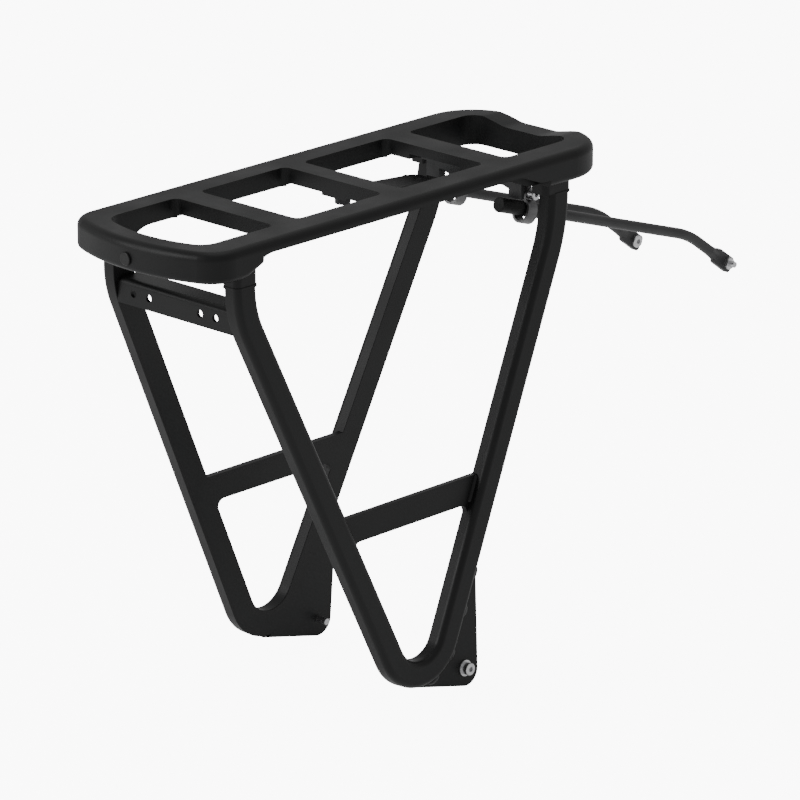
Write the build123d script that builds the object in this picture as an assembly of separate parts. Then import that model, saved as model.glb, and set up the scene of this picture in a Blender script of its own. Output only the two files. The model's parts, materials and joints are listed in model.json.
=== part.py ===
from build123d import *
import os
from math import atan, cos, degrees, radians, sin, sqrt, tan

os.makedirs("parts", exist_ok=True)

# Rear rack for a bicycle, in millimetres.
# +X points forward along the bicycle, +Y to its left, +Z up.
# The origin is midway between the two foot bolts, on their axis.

# Platform casting
platform_height = 359.5        # top of the platform above the foot bolts
opening_half_width = 48.0
rail_width = 24.3
front_end_x = 162.0
front_bar_width = 23.5
rear_end_x = -255.5
rear_bar_width = 18.0
rear_outer_bow_radius = 156.0
rear_inner_bow_radius = 115.0
front_corner_radius = 43.0
rear_corner_radius = 24.0
rear_opening_corner_radius = 15.0
front_opening_corner_radius = 12.0
opening_corner_radius = 5.5
crossbar_places = (-150.6, -46.2, 58.5)
crossbar_widths = (22.3, 17.2, 22.0)
crossbar_depth = 11.2
rail_depth = 13.6
end_depth = 22.0               # the casting is deeper at both ends, over the legs
deep_rear_length = 44.0        # from the rear end to where the underside rises
deep_front_length = 80.5
underside_ramp_length = 20.0
underside_ramp_radius = 24.0
top_edge_radius = 6.0
bottom_edge_radius = 4.0
rail_bevel_width = 13.0        # the rails' undersides rise towards their outer edges
rail_bevel_height = 5.4
saddle_depth = 4.4             # dip in the middle of the front bar
saddle_flat_half_width = 17.0
saddle_half_width = 38.0
saddle_blend_radius = 24.0
crossbar_relief_half_width = 25.0
crossbar_relief_height = 4.0
socket_height = 7.5            # stubs under the casting that take the legs
socket_rim = 0.4
front_socket_heel = 7.0

# Side frames: a bent tube, a flat rail and a foot plate in one leaning plane
foot_half_spacing = 71.5
leg_inset = 6.01               # from an opening's side to the inner face of a leg's top
tube_width = 19.6
tube_thickness = 12.5
tube_inner_corner_radius = 0.5  # on the face towards the wheel
tube_outer_corner_radius = 4.5
tube_wall = 1.8
foot_point_x = -50.1           # where the two leg centre lines would cross
foot_point_z = -31.6
rear_leg_x = -206.2
front_leg_x = 108.5
rear_leg_angle = 24.7
front_leg_angle = 24.94
foot_bend_radius = 30.5
rear_bend_radius = 70.0
front_bend_radius = 120.0
side_rail_top = 140.6
side_rail_height = 20.0
side_rail_thickness = 4.6
side_rail_corner_radius = 5.5  # under the rail's ends

# Foot plates and their bolts
plate_thickness = 4.0
plate_top_x = 15.0             # front edge at the top and at the bottom
plate_bottom_x = 13.0
plate_top_z = 79.0
plate_bottom_z = -13.8         # height of the bottom edge below the foot bolt
plate_bottom_slope = 0.25
plate_heel_x = -57.0
plate_corner_radius = 12.0
plate_weld_radius = 5.8
plate_weld_length = 2.0        # between the round ends of a stitch
plate_weld_heights = (70.5, 45.0)
plate_weld_turns = (38.0, 69.0)  # degrees below level, round the bend
weld_sink = 0.3                # bead centre below the face it lies on
foot_bolt_radius = 2.5
foot_bolt_reach = 9.0          # free end inside the plate
foot_head_radius = 4.5
foot_head_height = 5.0
foot_socket_radius = 2.1
foot_socket_depth = 2.6
foot_washer_radius = 6.0
washer_thickness = 1.0

leg_weld_size = 0.8
leg_weld_height = 1.6
rail_weld_radius = 2.2
head_edge_radius = 0.6

# Rear light bracket
light_bracket_x = -211.2       # rear face
light_bracket_top = 311.8
light_bracket_height = 17.8
light_bracket_ledge = 20.2
sheet_thickness = 2.5
sheet_bend_radius = 1.6
light_hole_radius = 2.75
light_hole_spacings = (80.0, 50.0)
light_hole_drop = 9.0          # below the ledge

# Plug in the rear bar
plug_drop = 13.0
plug_head_radius = 4.6
plug_head_height = 2.4
plug_stem_radius = 3.0
plug_stem_length = 8.0
plug_seat_depth = 0.8

# Mudguard bracket under the middle crossbar
tongue_half_width = 12.0
tongue_thickness = 2.0
tongue_front_x = 40.0
tongue_slope_angle = 4.7
tongue_hole_radius = 3.0
tongue_hole_inset = 10.0
tongue_corner_radius = 6.0
tongue_screw_radius = 2.5
tongue_screw_head_radius = 5.6
tongue_screw_head_height = 5.4
tongue_screw_length = 9.0

# Stay bracket, a folded plate across the underside
stay_plate_x = 89.5            # middle of the plate
stay_plate_thickness = 3.0
stay_plate_height = 6.2
stay_plate_inset = 1.5         # inside the openings' sides
stay_flange_overlap = 3.5      # under the rails
stay_flange_height = 2.4
stay_tab_inner = 34.0
stay_tab_drop = 7.3
stay_lug_thickness = 3.0
lug_end_radius = 4.4

# Stay rods, clips and their fasteners
stay_half_spacing = 34.0
rod_radius = 4.0
rod_angle = 18.1
rod_tip_angle = 36.0
rod_clip_x = 106.0             # where the rod axis crosses the middle of the clip
rod_clip_z = 311.0
rod_rear_reach = 30.0          # from the clip back to the end of the sleeve
rod_bend_x = 284.5
rod_tip_length = 51.6          # from the bend to the tip bolt
rod_bend_radius = 85.0
left_rod_setback = 27.0        # the left rod is pushed further back through its clip
pad_width = 12.0
pad_thickness = 4.0
pad_heel = 15.0                # from the tip bolt back to where the rod is pressed flat
pad_toe = 7.0
pad_corner_radius = 3.0
pad_neck_length = 7.0
pad_neck_inset = 0.4
sleeve_radius = 5.5
sleeve_length = 63.0
sleeve_end = 2.0
sleeve_end_radius = 1.2
clip_width = 10.0
clip_strap = 1.8
clip_clearance = 0.1
clip_drop = 3.3                # room under the sleeve in the loop
clip_washer_radius = 4.4
clip_ear_gap = 0.4
side_clearance = 0.3
m5_radius = 2.5
m5_running_clearance = 0.1
m5_head_radius = 4.25
m5_head_height = 4.0
m5_socket_radius = 2.0
m5_socket_depth = 2.4
m5_nut_across_flats = 8.0
m5_nut_height = 4.0
tip_head_radius = 4.75
tip_head_height = 2.8
tip_socket_depth = 1.6
tip_bolt_reach = 4.0           # free end past the nut
tip_thread_radius = 2.24       # pitch radius of the free thread

# Worked out from the sizes above
rail_half_width = opening_half_width + rail_width
platform_top = platform_height
socket_bottom = platform_top - end_depth - socket_height
splay_slope = (foot_half_spacing - opening_half_width - leg_inset) / socket_bottom
splay_angle = degrees(atan(splay_slope))
stay_plate_half_width = opening_half_width - stay_plate_inset
stay_flange_half_width = opening_half_width + stay_flange_overlap
clip_pivot_height = sleeve_radius + clip_clearance + clip_strap + lug_end_radius
ear_half = clip_ear_gap / 2 + clip_strap
lug_outer = stay_half_spacing - ear_half - side_clearance
lug_inner = lug_outer - stay_lug_thickness


def box_between(low, high):
    size = [b - a for a, b in zip(low, high)]
    middle = [(a + b) / 2 for a, b in zip(low, high)]
    return Pos(*middle) * Box(*size)


def rod_between(start, end, radius):
    start = Vector(*start)
    end = Vector(*end)
    plane = Plane(origin=start, z_dir=end - start)
    return plane * extrude(Circle(radius), (end - start).length)


def mirrored(shape):
    return mirror(shape, about=Plane.XZ)


def group(shapes):
    solids = []
    for shape in shapes:
        solids.extend(shape.solids())
    return Compound(children=solids)


def save(name, shape):
    export_step(shape, "parts/" + name + ".step")


# ---- Platform casting ----

def bowed_outline(front_x, rear_x, half_width, bow_radius, front_radius, rear_radius):
    """Plan outline with a straight front, straight sides and a bowed rear."""
    sagitta = bow_radius - sqrt(bow_radius ** 2 - half_width ** 2)
    front_left = (front_x, half_width)
    front_right = (front_x, -half_width)
    rear_left = (rear_x + sagitta, half_width)
    rear_right = (rear_x + sagitta, -half_width)
    edges = [
        Line(front_right, front_left),
        Line(front_left, rear_left),
        ThreePointArc(rear_left, (rear_x, 0), rear_right),
        Line(rear_right, front_right),
    ]
    face = make_face(Curve() + edges)
    corners = face.vertices().sort_by(Axis.X)
    face = fillet(corners[:2], rear_radius)
    corners = face.vertices().sort_by(Axis.X)
    return fillet(corners[-2:], front_radius)


def opening_outlines():
    """Plan outlines of the four openings, from the rear to the front."""
    edges = [rear_end_x + rear_bar_width]
    for place, width in zip(crossbar_places, crossbar_widths):
        edges.append(place - width / 2)
        edges.append(place + width / 2)
    edges.append(front_end_x - front_bar_width)
    outlines = [bowed_outline(edges[1], edges[0], opening_half_width, rear_inner_bow_radius,
                              opening_corner_radius, rear_opening_corner_radius)]
    for rear, front in zip(edges[2::2], edges[3::2]):
        outline = Pos((rear + front) / 2, 0) * Rectangle(front - rear, 2 * opening_half_width)
        is_last = front == edges[-1]
        front_radius = front_opening_corner_radius if is_last else opening_corner_radius
        corners = outline.vertices().sort_by(Axis.X)
        outline = fillet(corners[:2], opening_corner_radius)
        corners = outline.vertices().sort_by(Axis.X)
        outlines.append(fillet(corners[-2:], front_radius))
    return outlines


def underside_profile():
    """Side view of the casting: shallow rails between two deeper ends."""
    rear_ramp = rear_end_x + deep_rear_length
    front_ramp = front_end_x - deep_front_length
    points = [
        (rear_end_x - 1, 1),
        (rear_end_x - 1, -end_depth),
        (rear_ramp, -end_depth),
        (rear_ramp + underside_ramp_length, -rail_depth),
        (front_ramp - underside_ramp_length, -rail_depth),
        (front_ramp, -end_depth),
        (front_end_x + 1, -end_depth),
        (front_end_x + 1, 1),
    ]
    outline = make_face(Polyline(*points, close=True))
    ramp_corners = outline.vertices().filter_by(
        lambda v: rear_end_x < v.X < front_end_x)
    outline = fillet(ramp_corners, underside_ramp_radius)
    return Plane.XZ * outline


def saddle_cut():
    """Tool that takes the dip out of the top of the front bar."""
    points = [
        (-saddle_half_width - 20, 10),
        (-saddle_half_width - 20, 0),
        (-saddle_half_width, 0),
        (-saddle_flat_half_width, -saddle_depth),
        (saddle_flat_half_width, -saddle_depth),
        (saddle_half_width, 0),
        (saddle_half_width + 20, 0),
        (saddle_half_width + 20, 10),
    ]
    outline = make_face(Polyline(*points, close=True))
    slope_corners = outline.vertices().filter_by(lambda v: abs(v.X) < saddle_half_width + 1)
    outline = fillet(slope_corners, saddle_blend_radius)
    start_x = front_end_x - front_bar_width - front_opening_corner_radius
    return extrude(Plane(origin=(start_x, 0, 0), x_dir=(0, 1, 0), z_dir=(1, 0, 0)) * outline,
                   front_bar_width + front_opening_corner_radius + 10)


def leg_socket(leg_x, heel):
    """Stub under the casting, round the top of one left leg."""
    drop = end_depth + socket_height
    inner = foot_half_spacing - splay_slope * (platform_height - drop)
    low = (leg_x - tube_width / 2 - socket_rim - heel, inner - socket_rim, -drop)
    high = (leg_x + tube_width / 2 + socket_rim, inner + tube_thickness + socket_rim, -rail_depth)
    stub = box_between(low, high)
    uprights = stub.edges().filter_by(Axis.Z).sort_by(Axis.Y)
    return fillet(uprights[-2:], tube_outer_corner_radius)


def rail_bevel():
    """Tool that slopes the underside of the left rail up towards its outer edge."""
    rear = rear_leg_x + tube_width / 2 + socket_rim
    front = front_leg_x - tube_width / 2 - socket_rim - front_socket_heel
    outer = rail_half_width + 1
    slope = rail_bevel_height / rail_bevel_width
    points = [
        (rail_half_width - rail_bevel_width, -rail_depth),
        (outer, -rail_depth + slope * (rail_bevel_width + 1)),
        (outer, -end_depth - 10),
        (rail_half_width - rail_bevel_width, -end_depth - 10),
    ]
    outline = make_face(Polyline(*points, close=True))
    start = Plane(origin=(rear, 0, 0), x_dir=(0, 1, 0), z_dir=(1, 0, 0))
    prism = extrude(start * outline, front - rear)
    raised = Pos(0, 0, rail_bevel_height) * underside_profile()
    return prism - extrude(raised, rail_half_width + 5, both=True)


def outer_rim(body, at_top):
    """Edges round the outside of the casting, on its top or its underside."""
    wall_z = {True: -saddle_depth - 0.5, False: -rail_depth + 0.5}[at_top]
    chosen = []
    for face in body.faces():
        if face.bounding_box().size.Z > rail_depth / 2 and abs(face.normal_at().Z) < 0.01:
            chosen.extend(face.edges())
    if at_top:
        return [edge for edge in chosen if edge.bounding_box().min.Z > wall_z]
    return [edge for edge in chosen if edge.bounding_box().max.Z < wall_z]


def plug_hole():
    """Blind hole and spot face for the plug in the rear bar."""
    seat_x = rear_end_x + plug_seat_depth
    seat = rod_between((seat_x - 10, 0, -plug_drop), (seat_x, 0, -plug_drop), plug_head_radius)
    stem = rod_between((seat_x, 0, -plug_drop),
                       (seat_x + plug_stem_length, 0, -plug_drop), plug_stem_radius)
    return seat + stem


def platform():
    outline = bowed_outline(front_end_x, rear_end_x, rail_half_width, rear_outer_bow_radius,
                            front_corner_radius, rear_corner_radius)
    body = extrude(outline, -end_depth)
    body = body & extrude(underside_profile(), rail_half_width + 5, both=True)
    body = body - saddle_cut()
    body = fillet(outer_rim(body, True), top_edge_radius)
    body = fillet(outer_rim(body, False), bottom_edge_radius)
    bevel = rail_bevel()
    body = body - bevel - mirrored(bevel)
    for outline in opening_outlines():
        body = body - extrude(outline, end_depth + 5, both=True)
    for place, width in zip(crossbar_places, crossbar_widths):
        low = (place - width / 2 - 1, -opening_half_width, -end_depth - 1)
        high = (place + width / 2 + 1, opening_half_width, -crossbar_depth)
        body = body - box_between(low, high)
    place = crossbar_places[2]
    half = crossbar_widths[2] / 2 + 1
    relief_z = crossbar_relief_height - crossbar_depth
    body = body - box_between((place - half, -crossbar_relief_half_width, -crossbar_depth - 1),
                              (place + half, crossbar_relief_half_width, relief_z))
    for leg_x, heel in ((rear_leg_x, 0), (front_leg_x, front_socket_heel)):
        stub = leg_socket(leg_x, heel)
        body = body + stub + mirrored(stub)
    body = body - plug_hole()
    place = crossbar_places[1]
    body = body - rod_between((place, 0, -crossbar_depth - 1), (place, 0, tongue_screw_top()),
                              tongue_screw_radius)
    return Pos(0, 0, platform_top) * body


def tongue_screw_top():
    return tongue_screw_length - tongue_screw_head_height - crossbar_depth


# ---- Side frames, drawn upright and leaned inwards ----

def left_frame(shape):
    """Lean a left side frame, drawn with its inner face at Y = 0, into place."""
    return Pos(0, foot_half_spacing, 0) * Rot(splay_angle, 0, 0) * shape


def leg_path():
    """Centre line of the bent tube, from above the rear socket to above the front one."""
    rear_top = (rear_leg_x, platform_top)
    front_top = (front_leg_x, platform_top)
    foot = (foot_point_x, foot_point_z)
    rear_rise = (foot_point_x - rear_leg_x) / tan(radians(rear_leg_angle))
    front_rise = (front_leg_x - foot_point_x) / tan(radians(front_leg_angle))
    rear_knee = (rear_leg_x, foot_point_z + rear_rise)
    front_knee = (front_leg_x, foot_point_z + front_rise)
    radii = [rear_bend_radius, foot_bend_radius, front_bend_radius]
    flat = FilletPolyline(rear_top, rear_knee, foot, front_knee, front_top, radius=radii)
    return Plane.XZ * flat


def tube_section(margin):
    """Cross-section with nearly square corners on one face and rounder ones on the other."""
    section = Rectangle(tube_width + 2 * margin, tube_thickness + 2 * margin)
    corners = section.vertices().sort_by(Axis.Y)
    section = fillet(corners[:2], tube_outer_corner_radius + min(margin, 0))
    corners = section.vertices().sort_by(Axis.Y)
    return fillet(corners[-2:], tube_inner_corner_radius)


def tube_solid(margin=0.0, hollow=False):
    """Bent tube of one side frame, its inner face at Y = 0, grown by a margin."""
    path = Pos(0, tube_thickness / 2, 0) * leg_path()
    start = Plane(origin=path @ 0, x_dir=(1, 0, 0), z_dir=path % 0)
    section = tube_section(margin)
    if hollow:
        section = section - tube_section(-tube_wall)
    return sweep(start * section, path=path)


def above(z):
    """Everything above a height, as a cutting tool."""
    return box_between((-400, -200, z), (400, 200, z + 400))


def wheel_side():
    """Everything on the wheel's side of a side frame's inner face, as a cutting tool."""
    return box_between((-400, -100, -200), (400, 0, 500))


def left_tube():
    return left_frame(tube_solid(hollow=True)) - above(socket_bottom)


def left_leg_welds():
    """A bead round the top of each leg, under its socket."""
    beads = left_frame(tube_solid(margin=leg_weld_size)) - left_frame(tube_solid())
    return beads & box_between((-400, 0, socket_bottom - leg_weld_height),
                               (400, 200, socket_bottom))


def leg_line_x(z, leg, shift=0.0):
    """X of a leg's centre line at a height, or of a line beside it, shifted forward.

    The rear leg is -1 and the front leg is 1.
    """
    angle = radians(front_leg_angle if leg > 0 else rear_leg_angle)
    return foot_point_x + leg * tan(angle) * (z - foot_point_z) + shift / cos(angle)


def side_rail():
    """Flat bar between the legs, with rounded corners under its ends."""
    bottom = side_rail_top - side_rail_height
    low = bottom - 2 * side_rail_corner_radius
    inside = tube_width / 2 - 0.5
    bar = make_face(Polyline(
        (leg_line_x(side_rail_top, -1), side_rail_top),
        (leg_line_x(side_rail_top, 1), side_rail_top),
        (leg_line_x(low, 1), low),
        (leg_line_x(low, -1), low),
        close=True))
    gap = make_face(Polyline(
        (leg_line_x(bottom, -1, inside), bottom),
        (leg_line_x(bottom, 1, -inside), bottom),
        (leg_line_x(low - 1, 1, -inside), low - 1),
        (leg_line_x(low - 1, -1, inside), low - 1),
        close=True))
    corners = gap.vertices().sort_by(Axis.Y)
    gap = fillet(corners[-2:], side_rail_corner_radius)
    rail = extrude(Plane.XZ * (bar - gap), -side_rail_thickness)
    rail = rail - tube_solid()
    return rail.solids().sort_by(SortBy.VOLUME)[-1]


def foot_plate():
    bottom_at_front = plate_bottom_z - plate_bottom_slope * plate_bottom_x
    bottom_at_heel = plate_bottom_z - plate_bottom_slope * plate_heel_x
    points = [
        (plate_top_x, plate_top_z),
        (plate_bottom_x, bottom_at_front),
        (plate_heel_x, bottom_at_heel),
        (foot_point_x, foot_point_z + foot_bend_radius),
        (leg_line_x(plate_top_z, 1), plate_top_z),
    ]
    outline = make_face(Polyline(*points, close=True))
    corner = outline.vertices().sort_by(Axis.Y)[0]
    outline = fillet(corner, plate_corner_radius)
    plate = extrude(Plane.XZ * outline, -plate_thickness)
    plate = plate - tube_solid()
    plate = plate.solids().sort_by(SortBy.VOLUME)[-1]
    return plate - rod_between((0, -1, 0), (0, plate_thickness + 1, 0), foot_bolt_radius)


def weld_bead(start, end, radius):
    """Bead with two round ends."""
    return rod_between(start, end, radius) + Pos(*start) * Sphere(radius) + Pos(*end) * Sphere(radius)


def foot_weld_places():
    """Centre and direction of each stitch, as (x, z, angle above level) along the tube's edge."""
    places = []
    for z in plate_weld_heights:
        places.append((leg_line_x(z, 1, tube_width / 2), z, 90 - front_leg_angle))
    half_angle = (rear_leg_angle + front_leg_angle) / 2
    rise = foot_bend_radius / sin(radians(half_angle))
    edge_radius = foot_bend_radius + tube_width / 2
    for turn in plate_weld_turns:
        x = foot_point_x + edge_radius * cos(radians(turn))
        z = foot_point_z + rise - edge_radius * sin(radians(turn))
        places.append((x, z, 90 - turn))
    return places


def foot_welds():
    """Stitch welds in the corner between the tube and the outer face of the foot plate."""
    plate = foot_plate()
    tube = tube_solid()
    y = plate_thickness - weld_sink
    beads = []
    for x, z, angle in foot_weld_places():
        reach_x = cos(radians(angle)) * plate_weld_length / 2
        reach_z = sin(radians(angle)) * plate_weld_length / 2
        bead = weld_bead((x + weld_sink - reach_x, y, z - reach_z),
                         (x + weld_sink + reach_x, y, z + reach_z), plate_weld_radius)
        beads.append(bead - plate - tube - wheel_side())
    return group(beads)


def side_rail_welds():
    """A bead along each end joint of a side rail, on its outer face."""
    rail = side_rail()
    tube = tube_solid()
    top = side_rail_top - rail_weld_radius - weld_sink
    bottom = side_rail_top - side_rail_height + rail_weld_radius + weld_sink
    y = side_rail_thickness - weld_sink
    beads = []
    for leg in (-1, 1):
        shift = -leg * (tube_width / 2 + weld_sink)
        bead = weld_bead((leg_line_x(top, leg, shift), y, top),
                         (leg_line_x(bottom, leg, shift), y, bottom), rail_weld_radius)
        beads.append(bead - rail - tube - wheel_side())
    return group(beads)


def foot_bolt():
    """Socket-head bolt through the foot plate, its free end pointing at the wheel."""
    head_start = plate_thickness + washer_thickness
    shank = rod_between((0, -foot_bolt_reach, 0), (0, head_start, 0), foot_bolt_radius)
    head = socket_head((0, head_start, 0), (0, 1, 0), foot_head_radius, foot_head_height,
                       foot_socket_radius, foot_socket_depth)
    return shank + head


def foot_washer():
    washer = rod_between((0, plate_thickness, 0), (0, plate_thickness + washer_thickness, 0),
                         foot_washer_radius)
    return washer - rod_between((0, 0, 0), (0, plate_thickness + 5, 0), foot_bolt_radius)


def socket_head(seat, direction, radius, height, socket_radius, socket_depth):
    """Cap head standing on a seat, with a hexagon socket in its end."""
    plane = Plane(origin=seat, z_dir=direction)
    head = extrude(plane * Circle(radius), height)
    rim = head.edges().filter_by(GeomType.CIRCLE).sort_by(
        lambda e: (e.center() - Vector(*seat)).length)[-1]
    head = fillet(rim, head_edge_radius)
    hexagon = RegularPolygon(socket_radius, 6)
    return head - plane * Pos(0, 0, height - socket_depth) * extrude(hexagon, socket_depth + 1)


# ---- Rear light bracket ----

def rear_light_bracket():
    """Folded angle between the rear legs, its face square to the bicycle."""
    bottom = light_bracket_top - light_bracket_height
    wide = foot_half_spacing
    face_front = light_bracket_x + sheet_thickness
    ledge_front = light_bracket_x + light_bracket_ledge
    ledge_bottom = light_bracket_top - sheet_thickness
    face = box_between((light_bracket_x, -wide, bottom), (face_front, wide, light_bracket_top))
    ledge = box_between((light_bracket_x, -wide, ledge_bottom),
                        (ledge_front, wide, light_bracket_top))
    bracket = face + ledge
    fold = bracket.edges().filter_by(Axis.Y).filter_by(
        lambda e: abs(e.center().X - light_bracket_x) < 0.01
        and abs(e.center().Z - light_bracket_top) < 0.01)
    bracket = fillet(fold, sheet_bend_radius + sheet_thickness)
    inside = bracket.edges().filter_by(Axis.Y).filter_by(
        lambda e: abs(e.center().X - face_front) < 0.01
        and abs(e.center().Z - ledge_bottom) < 0.01)
    bracket = fillet(inside, sheet_bend_radius)
    leg = left_frame(tube_solid())
    inner_half = box_between((-400, -wide - 10, 0), (400, wide + 10, 400))
    frame_plane = left_frame(box_between((-400, 0, -100), (400, 100, 500)))
    bracket = (bracket & inner_half) - leg - mirrored(leg) - frame_plane - mirrored(frame_plane)
    for spacing in light_hole_spacings:
        for y in (-spacing / 2, spacing / 2):
            z = light_bracket_top - light_hole_drop
            bracket = bracket - rod_between((light_bracket_x - 1, y, z), (face_front + 1, y, z),
                                            light_hole_radius)
    return bracket


def rear_plug():
    seat_x = rear_end_x + plug_seat_depth
    z = platform_top - plug_drop
    head = rod_between((seat_x - plug_head_height, 0, z), (seat_x, 0, z), plug_head_radius)
    rim = head.edges().filter_by(GeomType.CIRCLE).sort_by(Axis.X)[0]
    head = fillet(rim, head_edge_radius)
    stem = rod_between((seat_x, 0, z), (seat_x + plug_stem_length, 0, z), plug_stem_radius)
    return head + stem


# ---- Mudguard bracket ----

def mudguard_bracket():
    """Flat foot under the middle crossbar and a tongue that slopes forward."""
    foot_rear = crossbar_places[1] - crossbar_widths[1] / 2
    foot_front = crossbar_places[1] + crossbar_widths[1] / 2
    top = platform_top - crossbar_depth
    drop = (tongue_front_x - foot_front) * tan(radians(tongue_slope_angle))
    points = [
        (foot_rear, top),
        (foot_front, top),
        (tongue_front_x, top - drop),
        (tongue_front_x, top - drop - tongue_thickness),
        (foot_front, top - tongue_thickness),
        (foot_rear, top - tongue_thickness),
    ]
    outline = Plane.XZ * make_face(Polyline(*points, close=True))
    bracket = extrude(outline, tongue_half_width, both=True)
    corners = bracket.edges().filter_by(Axis.Z).filter_by(
        lambda e: abs(e.center().X - tongue_front_x) < 0.1)
    bracket = fillet(corners, tongue_corner_radius)
    hole_x = tongue_front_x - tongue_hole_inset
    bracket = bracket - rod_between((hole_x, 0, top - 20), (hole_x, 0, top + 5),
                                    tongue_hole_radius)
    screw_x = crossbar_places[1]
    return bracket - rod_between((screw_x, 0, top - 20), (screw_x, 0, top + 5),
                                 tongue_screw_radius)


def mudguard_screw():
    x = crossbar_places[1]
    seat = platform_top - crossbar_depth - tongue_thickness
    top = platform_top + tongue_screw_top()
    shank = rod_between((x, 0, seat), (x, 0, top), tongue_screw_radius)
    head = socket_head((x, 0, seat), (0, 0, -1), tongue_screw_head_radius,
                       tongue_screw_head_height, m5_socket_radius, m5_socket_depth)
    return shank + head


# ---- Stay bracket, clips and rods ----

def clip_centre(side):
    """Where a rod's axis crosses the middle of its clip."""
    return Vector(rod_clip_x, side * stay_half_spacing, rod_clip_z)


def rod_frame(side):
    """Frame at the clip: X along the rod to its front, Z square to it and up."""
    forward = (cos(radians(rod_angle)), 0, -sin(radians(rod_angle)))
    up = (sin(radians(rod_angle)), 0, cos(radians(rod_angle)))
    return Plane(origin=clip_centre(side), x_dir=forward, z_dir=up)


def pivot_point(side):
    return rod_frame(side).from_local_coords((0, 0, clip_pivot_height))


def stay_lug(low_y, high_y):
    """Ear that runs forward from the cross plate to a round end about the clip's bolt."""
    rear = stay_plate_x - stay_plate_thickness / 2
    top = platform_top - end_depth - stay_flange_height
    bottom = platform_top - end_depth - stay_plate_height
    pivot = pivot_point(1)
    root = Polyline((rear, bottom), (rear, top), (pivot.X, top))
    tip = Pos(pivot.X, pivot.Z) * CenterArc((0, 0), lug_end_radius, 0, 360)
    outline = make_hull(root.edges() + tip.edges())
    back = Plane(origin=(0, high_y, 0), x_dir=(1, 0, 0), z_dir=(0, -1, 0))
    return extrude(back * outline, high_y - low_y)


def stay_bracket():
    """Cross plate under the rails, with two tabs and two lugs folded forward."""
    rear = stay_plate_x - stay_plate_thickness / 2
    front = stay_plate_x + stay_plate_thickness / 2
    top = platform_top - end_depth
    bottom = top - stay_plate_height
    half = stay_plate_half_width
    plate = box_between((rear, -half, bottom), (front, half, top))
    flange = box_between((rear, -stay_flange_half_width, top - stay_flange_height),
                         (front, stay_flange_half_width, top))
    bracket = plate + flange
    pivot = pivot_point(1)
    for side in (1, -1):
        tab_inner = side * stay_tab_inner
        tab_outer = side * half
        bracket = bracket + box_between(
            (rear, min(tab_inner, tab_outer), bottom - stay_tab_drop),
            (front, max(tab_inner, tab_outer), bottom + 1))
        low_y = min(side * lug_inner, side * lug_outer)
        high_y = max(side * lug_inner, side * lug_outer)
        bracket = bracket + stay_lug(low_y, high_y)
        bracket = bracket - rod_between((pivot.X, low_y - 1, pivot.Z),
                                        (pivot.X, high_y + 1, pivot.Z), m5_radius)
    return bracket


def obround(radius, drop):
    """Round top on the rod's axis, straight sides and a round bottom."""
    outline = Circle(radius) + Pos(0, -drop) * Circle(radius)
    return outline + Pos(0, -drop / 2) * Rectangle(2 * radius, drop)


def stay_clip(side):
    """Strap folded round the sleeve, its two ears closed by the bolt above."""
    inner_radius = sleeve_radius + clip_clearance
    across = Plane(origin=(0, 0, 0), x_dir=(0, 1, 0), z_dir=(1, 0, 0))
    outer = extrude(across * obround(inner_radius + clip_strap, clip_drop), clip_width / 2,
                    both=True)
    ear_top = clip_pivot_height
    ears = box_between((-clip_width / 2, -ear_half, 0), (clip_width / 2, ear_half, ear_top))
    ears = ears + rod_between((0, -ear_half, ear_top), (0, ear_half, ear_top), clip_width / 2)
    clip = outer + ears
    clip = clip - extrude(across * obround(inner_radius, clip_drop), clip_width, both=True)
    clip = clip - box_between((-clip_width, -clip_ear_gap / 2, 0),
                              (clip_width, clip_ear_gap / 2, ear_top + clip_width))
    bore = m5_radius + m5_running_clearance
    clip = clip - rod_between((0, -20, ear_top), (0, 20, ear_top), bore)
    return rod_frame(side) * clip


def clip_bolt(side):
    """Bolt through the clip's ears and the lug, its head on the outside."""
    pivot = pivot_point(side)
    seat = pivot.Y + side * (ear_half + side_clearance + washer_thickness)
    end = side * (lug_inner - washer_thickness - m5_nut_height - 1.5)
    shank = rod_between((pivot.X, end, pivot.Z), (pivot.X, seat, pivot.Z), m5_radius)
    head = socket_head((pivot.X, seat, pivot.Z), (0, side, 0), m5_head_radius, m5_head_height,
                       m5_socket_radius, m5_socket_depth)
    return shank + head


def clip_washer(side):
    pivot = pivot_point(side)
    start = pivot.Y + side * (ear_half + side_clearance)
    end = start + side * washer_thickness
    washer = rod_between((pivot.X, start, pivot.Z), (pivot.X, end, pivot.Z), clip_washer_radius)
    return washer - rod_between((pivot.X, start - 5, pivot.Z), (pivot.X, end + 5, pivot.Z),
                                m5_radius)


def hex_nut(centre, direction):
    """M5 nut that stands on a point and faces a direction."""
    plane = Plane(origin=centre, z_dir=direction)
    corner_radius = m5_nut_across_flats / 2 / cos(radians(30))
    nut = extrude(plane * RegularPolygon(corner_radius, 6), m5_nut_height)
    return nut - extrude(plane * Circle(m5_radius), m5_nut_height)


def clip_nut(side):
    pivot = pivot_point(side)
    return hex_nut((pivot.X, side * lug_inner, pivot.Z), (0, -side, 0))


def rod_setback(side):
    return left_rod_setback if side > 0 else 0.0


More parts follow.
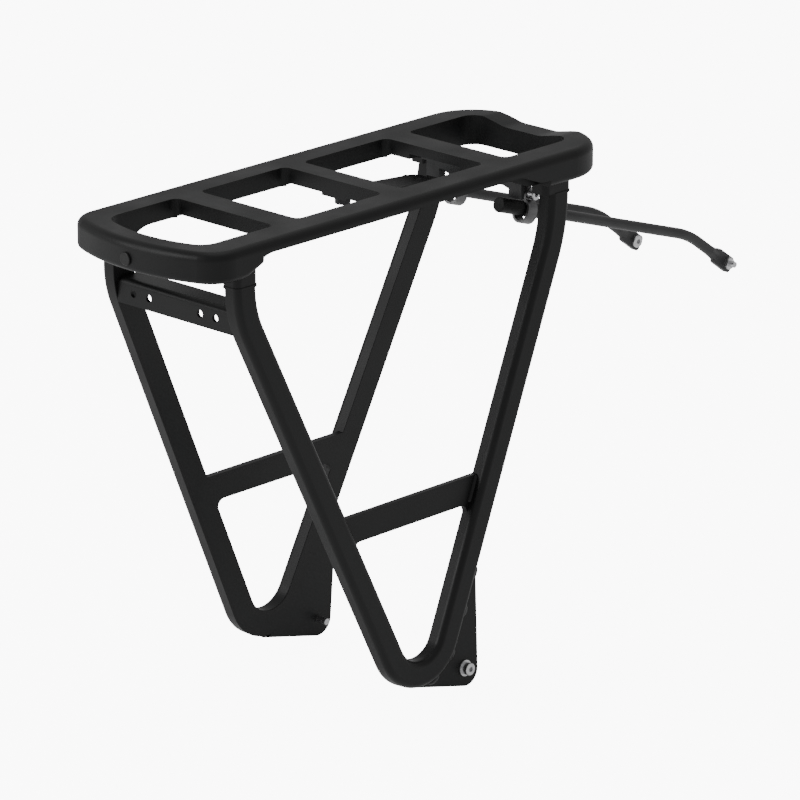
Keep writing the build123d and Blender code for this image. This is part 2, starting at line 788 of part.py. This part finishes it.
def rod_solid():
    """Stay rod in its own frame: the clip at the origin, X along the straight part."""
    rear_x = sleeve_end - rod_rear_reach
    bend_x = (rod_bend_x - rod_clip_x) / cos(radians(rod_angle))
    turn = radians(rod_tip_angle - rod_angle)
    toe = Vector(bend_x + rod_tip_length * cos(turn), 0, -rod_tip_length * sin(turn))
    path = FilletPolyline((rear_x, 0), (bend_x, 0), (toe.X, toe.Z), radius=rod_bend_radius)
    path = Plane(origin=(0, 0, 0), x_dir=(1, 0, 0), z_dir=(0, -1, 0)) * path
    rod = sweep(Plane(origin=path @ 0, z_dir=path % 0) * Circle(rod_radius), path=path)
    pad_frame = Plane(origin=toe, x_dir=(cos(turn), 0, -sin(turn)),
                      z_dir=(sin(turn), 0, cos(turn)))
    neck_start = -pad_heel - pad_neck_length
    rod = rod - pad_frame * box_between((neck_start, -20, -20), (pad_toe + 20, 20, 20))
    middle = (pad_toe - pad_heel) / 2
    pad = extrude(Plane.XZ * Pos(middle, 0) * RectangleRounded(
        pad_heel + pad_toe, pad_width, pad_corner_radius), pad_thickness / 2, both=True)
    round_end = Plane(origin=(neck_start, 0, 0), x_dir=(0, 1, 0), z_dir=(1, 0, 0))
    flat_end = Plane(origin=(-pad_heel + pad_neck_length, 0, 0), x_dir=(0, 1, 0),
                     z_dir=(1, 0, 0))
    pressed = Ellipse(pad_thickness / 2 - pad_neck_inset, pad_width / 2 - pad_neck_inset)
    neck = loft([round_end * Circle(rod_radius), flat_end * pressed])
    hole = rod_between((0, -10, 0), (0, 10, 0), m5_radius)
    return rod + pad_frame * (pad + neck - hole), toe


def placed_rod_frame(side):
    """Frame of a rod that has been slid through its clip."""
    plane = rod_frame(side)
    origin = plane.from_local_coords((-rod_setback(side), 0, 0))
    return Plane(origin=origin, x_dir=plane.x_dir, z_dir=plane.z_dir)


def sleeve_solid():
    rear_x = -rod_rear_reach
    sleeve = rod_between((rear_x, 0, 0), (rear_x + sleeve_length, 0, 0), sleeve_radius)
    rims = sleeve.edges().filter_by(GeomType.CIRCLE).sort_by(Axis.X)
    sleeve = fillet(rims[0], sleeve_end_radius)
    return sleeve - rod_between((rear_x + sleeve_end, 0, 0), (rear_x + sleeve_length + 1, 0, 0),
                                rod_radius)


def tip_bolt(toe, side):
    """Bolt through the pad, its free end pointing outwards at the bicycle's frame."""
    inside = -side * pad_thickness / 2
    nut_end = side * (pad_thickness / 2 + m5_nut_height)
    outside = nut_end + side * tip_bolt_reach
    shank = rod_between((toe.X, inside, toe.Z), (toe.X, nut_end, toe.Z), m5_radius)
    shank = shank + rod_between((toe.X, nut_end, toe.Z), (toe.X, outside, toe.Z),
                                tip_thread_radius)
    head = socket_head((toe.X, inside, toe.Z), (0, -side, 0), tip_head_radius, tip_head_height,
                       m5_socket_radius, tip_socket_depth)
    return shank + head


def tip_nut(toe, side):
    return hex_nut((toe.X, side * pad_thickness / 2, toe.Z), (0, side, 0))


def main():
    save("platform", platform())
    frames = {
        "v_tube": left_tube(),
        "side_rail": left_frame(side_rail()),
        "foot_plate": left_frame(foot_plate()),
        "leg_welds": left_leg_welds(),
        "rail_welds": left_frame(side_rail_welds()),
        "foot_welds": left_frame(foot_welds()),
    }
    for name, shape in frames.items():
        save("left_" + name, shape)
        save("right_" + name, mirrored(shape))
    for name, shape in (("foot_bolts", foot_bolt()), ("foot_washers", foot_washer())):
        placed = left_frame(shape)
        save(name, group([placed, mirrored(placed)]))
    save("rear_light_bracket", rear_light_bracket())
    save("rear_plug", rear_plug())
    save("mudguard_bracket", mudguard_bracket())
    save("mudguard_bracket_screw", mudguard_screw())
    save("stay_bracket", stay_bracket())
    save("stay_clip_bolts", group([clip_bolt(1), clip_bolt(-1)]))
    save("stay_clip_washers", group([clip_washer(1), clip_washer(-1)]))
    save("stay_clip_nuts", group([clip_nut(1), clip_nut(-1)]))
    rod, toe = rod_solid()
    for name, side in (("left", 1), ("right", -1)):
        place = placed_rod_frame(side)
        save(name + "_stay_clip", stay_clip(side))
        save(name + "_stay_rod", place * rod)
        save(name + "_stay_sleeve", place * sleeve_solid())
        save(name + "_stay_tip_bolt", place * tip_bolt(toe, side))
        save(name + "_stay_tip_nut", place * tip_nut(toe, side))


main()
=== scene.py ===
import json
from math import atan2, cos, radians, sin

import bpy
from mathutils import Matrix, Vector


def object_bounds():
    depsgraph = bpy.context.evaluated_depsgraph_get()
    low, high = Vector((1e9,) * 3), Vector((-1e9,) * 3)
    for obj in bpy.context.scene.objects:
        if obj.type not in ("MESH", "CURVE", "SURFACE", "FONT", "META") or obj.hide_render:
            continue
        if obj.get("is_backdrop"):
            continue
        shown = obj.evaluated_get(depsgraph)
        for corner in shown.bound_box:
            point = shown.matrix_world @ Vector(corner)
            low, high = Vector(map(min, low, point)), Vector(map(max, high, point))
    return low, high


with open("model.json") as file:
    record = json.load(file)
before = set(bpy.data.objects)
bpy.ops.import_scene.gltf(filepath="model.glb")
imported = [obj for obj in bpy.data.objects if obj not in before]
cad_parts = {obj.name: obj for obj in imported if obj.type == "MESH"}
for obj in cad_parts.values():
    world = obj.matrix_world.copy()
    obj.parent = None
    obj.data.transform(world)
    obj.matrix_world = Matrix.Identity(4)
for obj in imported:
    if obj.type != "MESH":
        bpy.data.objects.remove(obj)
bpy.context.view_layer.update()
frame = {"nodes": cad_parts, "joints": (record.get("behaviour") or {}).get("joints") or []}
nodes = frame["nodes"]

# Camera, in metres, with its lens and sensor in millimetres
camera_target = (0.01187, 0, 0.18174)
camera_direction = (0.6854, 0.6564, -0.3153)
camera_distance = 4.2492
camera_lens = 267.48
camera_sensor = 36.0
camera_reach = 100.0

# Studio, in metres and watts
floor_size = 60
floor_gap = 0.0005
floor_glow = 0.25              # as the object sees it
floor_glow_in_camera = 9.0
sky_strength = 0.55
light_aim = (0, 0, 0.2)
key_place = (-2.4, 1.2, 1.6)
key_size = 1.6
key_power = 45
top_place = (0.6, 0.2, 3.2)
top_size = 2.0
top_power = 12

# Where the middle of a noise lies, which colours and roughness run across
noise_low = 0.3
noise_high = 0.7


# ---- Node helpers ----

def new_material(name):
    """A material with a bare Principled shader and an output."""
    material = bpy.data.materials.new(name)
    material.use_nodes = True
    tree = material.node_tree
    tree.nodes.clear()
    shader = tree.nodes.new("ShaderNodeBsdfPrincipled")
    output = tree.nodes.new("ShaderNodeOutputMaterial")
    tree.links.new(shader.outputs["BSDF"], output.inputs["Surface"])
    return material, tree, shader


def object_coordinates(tree, scale=(1, 1, 1), turn=(0, 0, 0)):
    """Object coordinates in metres, turned and stretched."""
    source = tree.nodes.new("ShaderNodeTexCoord")
    mapping = tree.nodes.new("ShaderNodeMapping")
    mapping.inputs["Rotation"].default_value = turn
    mapping.inputs["Scale"].default_value = scale
    tree.links.new(source.outputs["Object"], mapping.inputs["Vector"])
    return mapping.outputs["Vector"]


def noise(tree, vector, scale, detail=2.0, roughness=0.5):
    node = tree.nodes.new("ShaderNodeTexNoise")
    node.inputs["Scale"].default_value = scale
    node.inputs["Detail"].default_value = detail
    node.inputs["Roughness"].default_value = roughness
    tree.links.new(vector, node.inputs["Vector"])
    return node.outputs["Fac"]


def ramp(tree, value, low_color, high_color):
    """Colour that runs from one to another, as a value runs through the middle of a noise."""
    node = tree.nodes.new("ShaderNodeValToRGB")
    node.color_ramp.elements[0].position = noise_low
    node.color_ramp.elements[1].position = noise_high
    node.color_ramp.elements[0].color = (*low_color, 1)
    node.color_ramp.elements[1].color = (*high_color, 1)
    tree.links.new(value, node.inputs["Fac"])
    return node.outputs["Color"]


def grey(level):
    return (level, level, level)


def spread(tree, value, low, high):
    """A number from low to high, as a value runs through the middle of a noise."""
    node = tree.nodes.new("ShaderNodeMapRange")
    node.inputs["From Min"].default_value = noise_low
    node.inputs["From Max"].default_value = noise_high
    node.inputs["To Min"].default_value = low
    node.inputs["To Max"].default_value = high
    tree.links.new(value, node.inputs["Value"])
    return node.outputs["Result"]


def bump(tree, shader, height, distance, strength, under=None):
    """Bump of a real height in metres, on top of another bump if one is given."""
    node = tree.nodes.new("ShaderNodeBump")
    node.inputs["Distance"].default_value = distance
    node.inputs["Strength"].default_value = strength
    tree.links.new(height, node.inputs["Height"])
    if under is not None:
        tree.links.new(under, node.inputs["Normal"])
    tree.links.new(node.outputs["Normal"], shader.inputs["Normal"])
    return node.outputs["Normal"]


# ---- Materials ----

def powder_coat(name, grain=900.0, depth=0.00006, rough_low=0.36, rough_high=0.47):
    """Satin black powder coat: fine orange peel, faint cloudiness and dust-soft patches."""
    material, tree, shader = new_material(name)
    place = object_coordinates(tree)
    clouds = noise(tree, place, 28.0, 3.0)
    peel = noise(tree, place, grain, 2.0)
    grit = noise(tree, place, grain * 4.5, 1.0)
    color = ramp(tree, clouds, (0.0050, 0.0050, 0.0053), (0.0072, 0.0072, 0.0075))
    tree.links.new(color, shader.inputs["Base Color"])
    tree.links.new(spread(tree, clouds, rough_low, rough_high), shader.inputs["Roughness"])
    under = bump(tree, shader, peel, depth, 0.35)
    bump(tree, shader, grit, depth / 4, 0.25, under)
    shader.inputs["Specular IOR Level"].default_value = 0.22
    return material


def bright_steel():
    """Zinc-plated fastener steel with fine turning marks."""
    material, tree, shader = new_material("bright_steel")
    place = object_coordinates(tree, (900, 5200, 900))
    marks = noise(tree, place, 1.0, 3.0)
    clouds = noise(tree, object_coordinates(tree), 420.0, 2.0)
    color = ramp(tree, clouds, (0.50, 0.50, 0.51), (0.66, 0.66, 0.67))
    tree.links.new(color, shader.inputs["Base Color"])
    tree.links.new(spread(tree, marks, 0.2, 0.34), shader.inputs["Roughness"])
    bump(tree, shader, marks, 0.00003, 0.3)
    shader.inputs["Metallic"].default_value = 1.0
    return material


def black_steel():
    """Blackened socket screw."""
    material, tree, shader = new_material("black_steel")
    clouds = noise(tree, object_coordinates(tree), 600.0, 3.0)
    color = ramp(tree, clouds, (0.02, 0.02, 0.021), (0.035, 0.035, 0.037))
    tree.links.new(color, shader.inputs["Base Color"])
    tree.links.new(spread(tree, clouds, 0.3, 0.45), shader.inputs["Roughness"])
    bump(tree, shader, clouds, 0.00002, 0.3)
    shader.inputs["Metallic"].default_value = 0.8
    return material


def grey_plate():
    """Grey coated steel sheet with faint rolling lines along its length."""
    material, tree, shader = new_material("grey_plate")
    lines = noise(tree, object_coordinates(tree, (1400, 60, 1400)), 1.0, 3.0)
    clouds = noise(tree, object_coordinates(tree), 90.0, 3.0)
    color = ramp(tree, clouds, (0.026, 0.026, 0.027), (0.036, 0.036, 0.037))
    tree.links.new(color, shader.inputs["Base Color"])
    tree.links.new(spread(tree, lines, 0.38, 0.52), shader.inputs["Roughness"])
    bump(tree, shader, lines, 0.00003, 0.3)
    shader.inputs["Metallic"].default_value = 0.35
    shader.inputs["Specular IOR Level"].default_value = 0.3
    return material


def clip_zinc():
    """Plain zinc strap of the stay clips, a little cloudy."""
    material, tree, shader = new_material("clip_zinc")
    place = object_coordinates(tree)
    clouds = noise(tree, place, 260.0, 3.0)
    fine = noise(tree, place, 2600.0, 2.0)
    color = ramp(tree, clouds, (0.11, 0.11, 0.112), (0.17, 0.17, 0.172))
    tree.links.new(color, shader.inputs["Base Color"])
    tree.links.new(spread(tree, clouds, 0.28, 0.42), shader.inputs["Roughness"])
    bump(tree, shader, fine, 0.00002, 0.3)
    shader.inputs["Metallic"].default_value = 0.85
    return material


def drawn_rod():
    """Dark grey anodised rod with drawing lines along its straight part."""
    material, tree, shader = new_material("drawn_rod")
    turn = (0, -rod_angle(), 0)
    lines = noise(tree, object_coordinates(tree, (25, 2600, 2600), turn), 1.0, 3.0)
    clouds = noise(tree, object_coordinates(tree), 60.0, 3.0)
    color = ramp(tree, clouds, (0.040, 0.040, 0.041), (0.052, 0.052, 0.053))
    tree.links.new(color, shader.inputs["Base Color"])
    tree.links.new(spread(tree, lines, 0.34, 0.48), shader.inputs["Roughness"])
    bump(tree, shader, lines, 0.00002, 0.25)
    shader.inputs["Metallic"].default_value = 0.55
    shader.inputs["Specular IOR Level"].default_value = 0.3
    return material


def sleeve_rubber():
    """Black moulded rubber with a fine matt grain."""
    material, tree, shader = new_material("sleeve_rubber")
    place = object_coordinates(tree)
    grain = noise(tree, place, 3200.0, 2.0)
    clouds = noise(tree, place, 90.0, 2.0)
    color = ramp(tree, clouds, (0.005, 0.005, 0.005), (0.007, 0.007, 0.007))
    tree.links.new(color, shader.inputs["Base Color"])
    tree.links.new(spread(tree, grain, 0.42, 0.58), shader.inputs["Roughness"])
    bump(tree, shader, grain, 0.00004, 0.3)
    shader.inputs["Specular IOR Level"].default_value = 0.25
    return material


def plug_plastic():
    """Black nylon with a faint moulded texture."""
    material, tree, shader = new_material("plug_plastic")
    place = object_coordinates(tree)
    grain = noise(tree, place, 2400.0, 2.0)
    clouds = noise(tree, place, 240.0, 2.0)
    color = ramp(tree, clouds, (0.006, 0.006, 0.006), (0.009, 0.009, 0.009))
    tree.links.new(color, shader.inputs["Base Color"])
    tree.links.new(spread(tree, grain, 0.32, 0.46), shader.inputs["Roughness"])
    bump(tree, shader, grain, 0.00003, 0.3)
    shader.inputs["Specular IOR Level"].default_value = 0.3
    return material


def rod_angle():
    """Slope of the stay rods below level, read from their slide joint."""
    for joint in frame["joints"]:
        if joint["name"] == "right_rod_slide":
            return atan2(-joint["axis"][2], joint["axis"][0])
    return 0.0


def paint(material, *names):
    """Gives CAD nodes a material."""
    for name in names:
        data = nodes[name].data
        data.materials.clear()
        data.materials.append(material)


def paint_all():
    tube_coat = powder_coat("tube_coat")
    sides = ("left", "right")
    paint(powder_coat("casting_coat", 700.0, 0.00008, 0.38, 0.5), "platform")
    paint(powder_coat("weld_coat", 1500.0, 0.00005, 0.32, 0.42),
          *[side + part for side in sides for part in ("_leg_welds", "_rail_welds", "_foot_welds")])
    paint(tube_coat, "rear_light_bracket", "mudguard_bracket",
          *[side + part for side in sides for part in ("_v_tube", "_side_rail", "_foot_plate")])
    paint(bright_steel(), "foot_bolts", "foot_washers", "stay_clip_bolts", "stay_clip_washers",
          "stay_clip_nuts", *[side + part for side in sides for part in ("_stay_tip_bolt", "_stay_tip_nut")])
    paint(black_steel(), "mudguard_bracket_screw")
    paint(plug_plastic(), "rear_plug")
    paint(grey_plate(), "stay_bracket")
    paint(clip_zinc(), "left_stay_clip", "right_stay_clip")
    paint(drawn_rod(), "left_stay_rod", "right_stay_rod")
    paint(sleeve_rubber(), "left_stay_sleeve", "right_stay_sleeve")


# ---- Studio ----

def floor():
    """White floor that reaches the edges of every view: bright to the camera, faint to the rack."""
    low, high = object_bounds()
    bpy.ops.mesh.primitive_plane_add(size=floor_size, location=(0, 0, low.z - floor_gap))
    plane = bpy.context.object
    plane.name = "floor"
    material, tree, shader = new_material("floor_paper")
    clouds = noise(tree, object_coordinates(tree), 3.0, 2.0)
    color = ramp(tree, clouds, grey(0.86), grey(0.88))
    tree.links.new(color, shader.inputs["Base Color"])
    shader.inputs["Roughness"].default_value = 0.9
    shader.inputs["Emission Color"].default_value = (1, 1, 1, 1)
    rays = tree.nodes.new("ShaderNodeLightPath")
    glow = tree.nodes.new("ShaderNodeMapRange")
    glow.inputs["To Min"].default_value = floor_glow
    glow.inputs["To Max"].default_value = floor_glow_in_camera
    tree.links.new(rays.outputs["Is Camera Ray"], glow.inputs["Value"])
    tree.links.new(glow.outputs["Result"], shader.inputs["Emission Strength"])
    plane.data.materials.append(material)
    plane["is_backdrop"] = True


def area_light(name, location, target, size, power):
    data = bpy.data.lights.new(name, "AREA")
    data.shape = "SQUARE"
    data.size = size
    data.energy = power
    lamp = bpy.data.objects.new(name, data)
    bpy.context.scene.collection.objects.link(lamp)
    lamp.location = location
    aim = Vector(target) - Vector(location)
    lamp.rotation_euler = aim.to_track_quat("-Z", "Y").to_euler()



def lights():
    """Even white sky, a soft light from behind and to the left, and a weak one from above."""
    world = bpy.data.worlds.new("studio")
    bpy.context.scene.world = world
    world.use_nodes = True
    background = world.node_tree.nodes["Background"]
    background.inputs["Color"].default_value = (1, 1, 1, 1)
    background.inputs["Strength"].default_value = sky_strength
    area_light("key", key_place, light_aim, key_size, key_power)
    area_light("top", top_place, light_aim, top_size, top_power)


def camera():
    """The camera stands behind and to the right of the bicycle, a little above the rack."""
    direction = Vector(camera_direction).normalized()
    data = bpy.data.cameras.new("camera")
    data.sensor_width = camera_sensor
    data.lens = camera_lens
    data.clip_end = camera_reach
    eye = bpy.data.objects.new("camera", data)
    bpy.context.scene.collection.objects.link(eye)
    eye.location = Vector(camera_target) - direction * camera_distance
    eye.rotation_euler = direction.to_track_quat("-Z", "Y").to_euler()
    bpy.context.scene.camera = eye


paint_all()
floor()
lights()
camera()
